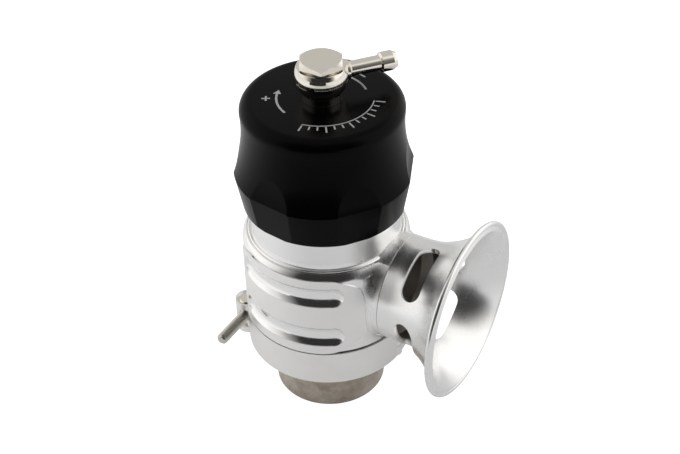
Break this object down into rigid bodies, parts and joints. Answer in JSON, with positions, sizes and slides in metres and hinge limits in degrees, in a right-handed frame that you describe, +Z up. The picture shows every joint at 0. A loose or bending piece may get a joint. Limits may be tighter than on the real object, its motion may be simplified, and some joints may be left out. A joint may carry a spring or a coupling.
{
  "type": "blow off valve",
  "caption": "Piston blow off valve with a screw-down spring cap, side trumpet outlet, swivelling hose barb and a V-clamped weld-on inlet tube.",
  "frame": {"origin": "centre of the inlet tube's lower face, on the valve axis", "axes": "+Z up along the valve axis to the hose fitting, +X along the outlet trumpet, -Y to the side with the clamp bolt's free end"},
  "size_m": [0.0825, 0.0599, 0.1286],
  "materials": {
    "polished_aluminium": "polished",
    "satin_aluminium": "fine satin",
    "black_anodised": "black anodised, satin",
    "bare_steel": "bare drawn steel tube",
    "bolt_steel": "plain steel",
    "nickel_plate": "nickel plated brass",
    "seal_rubber": "matt",
    "slip_plastic": "low friction plastic"
  },
  "bodies": {
    "housing": {"inlet_adaptor": "bare_steel", "base_o_ring": "seal_rubber", "clamp_half_front": "satin_aluminium", "clamp_half_rear": "satin_aluminium", "clamp_hinge_pin": "bolt_steel", "clamp_bolt": "bolt_steel", "barrel_nut": "nickel_plate", "barrel_washer": "nickel_plate", "body": "polished_aluminium", "trumpet": "polished_aluminium", "trumpet_o_ring": "seal_rubber", "cap_o_ring": "seal_rubber"},
    "valve_piston": {"piston": "satin_aluminium", "piston_face_seal": "seal_rubber", "piston_o_ring": "seal_rubber", "piston_guide_band": "slip_plastic"},
    "spring_perch": {"main_spring": "bolt_steel", "spring_seat": "satin_aluminium", "thrust_washer": "slip_plastic"},
    "screw_cap": {"cap": "black_anodised", "banjo_bolt": "nickel_plate", "upper_washer": "bolt_steel", "lower_washer": "bolt_steel"},
    "nipple": {"banjo_fitting": "nickel_plate"}
  },
  "joints": [
    {"name": "piston_lift", "type": "slide", "parent": "housing", "child": "valve_piston", "axis": [0, 0, 1], "range_m": [0, 0.012], "stiffness_N_per_m": 3500, "springref_m": -0.01, "deforming": ["main_spring"]},
    {"name": "cap_advance", "type": "slide", "parent": "housing", "child": "spring_perch", "axis": [0, 0, 1], "range_m": [-0.006, 0.002], "deforming": ["main_spring"]},
    {"name": "cap_turn", "type": "hinge", "parent": "spring_perch", "child": "screw_cap", "pos_m": [0, 0, 0.1], "axis": [0, 0, 1], "range_deg": [-1080, 360]},
    {"name": "nipple_swivel", "type": "hinge", "parent": "screw_cap", "child": "nipple", "pos_m": [0, 0, 0.1229], "axis": [0, 0, 1], "continuous": true}
  ],
  "couplings": [
    {"joint": "cap_advance", "follows": "cap_turn", "m_per_rad": 0.00031831}
  ]
}
